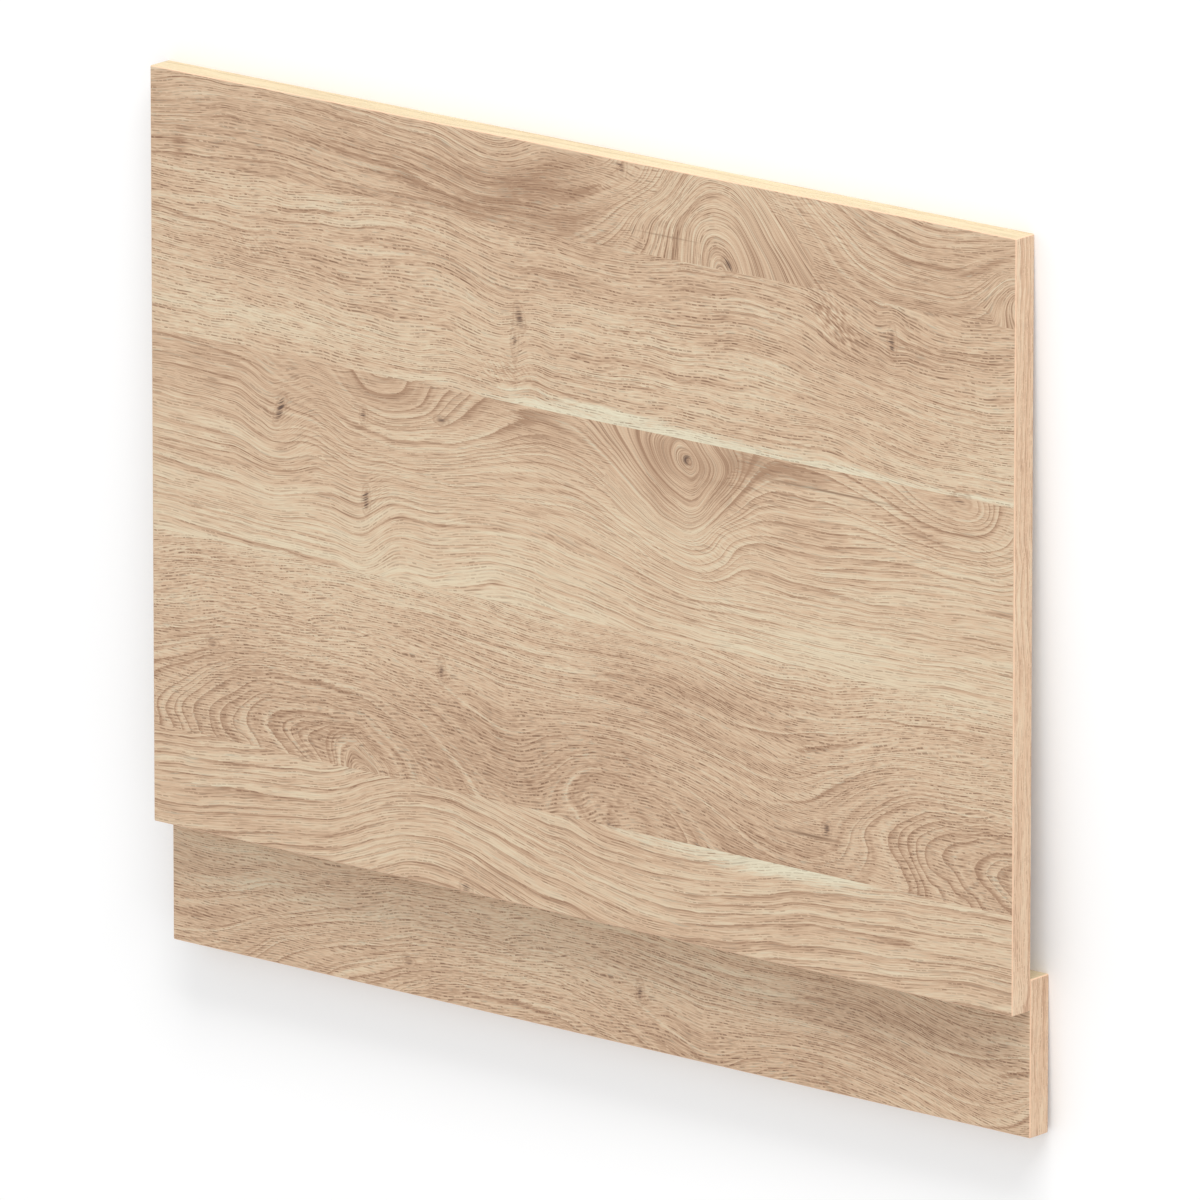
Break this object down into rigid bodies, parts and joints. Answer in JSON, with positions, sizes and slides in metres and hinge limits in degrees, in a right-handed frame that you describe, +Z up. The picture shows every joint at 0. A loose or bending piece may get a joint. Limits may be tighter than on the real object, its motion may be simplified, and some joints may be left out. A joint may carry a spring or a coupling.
{
  "type": "bath end panel",
  "caption": "Oak-effect bath end panel: a wide flat board with a plinth board set back behind its lower edge, closing the end of a bath from rim to floor.",
  "frame": {"origin": "on the floor, at the middle of the box of the part as it lies on its back", "axes": "+X across the width, to the right as one faces the panel; +Y up the panel's height, from the plinth's foot to the panel's top edge; +Z up, out of the decorative face, which leans back 2.2 degrees"},
  "size_m": [0.7, 0.5758, 0.0367],
  "materials": {
    "oak_panel": "matte",
    "oak_plinth": "matte"
  },
  "bodies": {
    "root": {"bath_panel": "oak_panel", "plinth": "oak_plinth"}
  },
  "joints": []
}
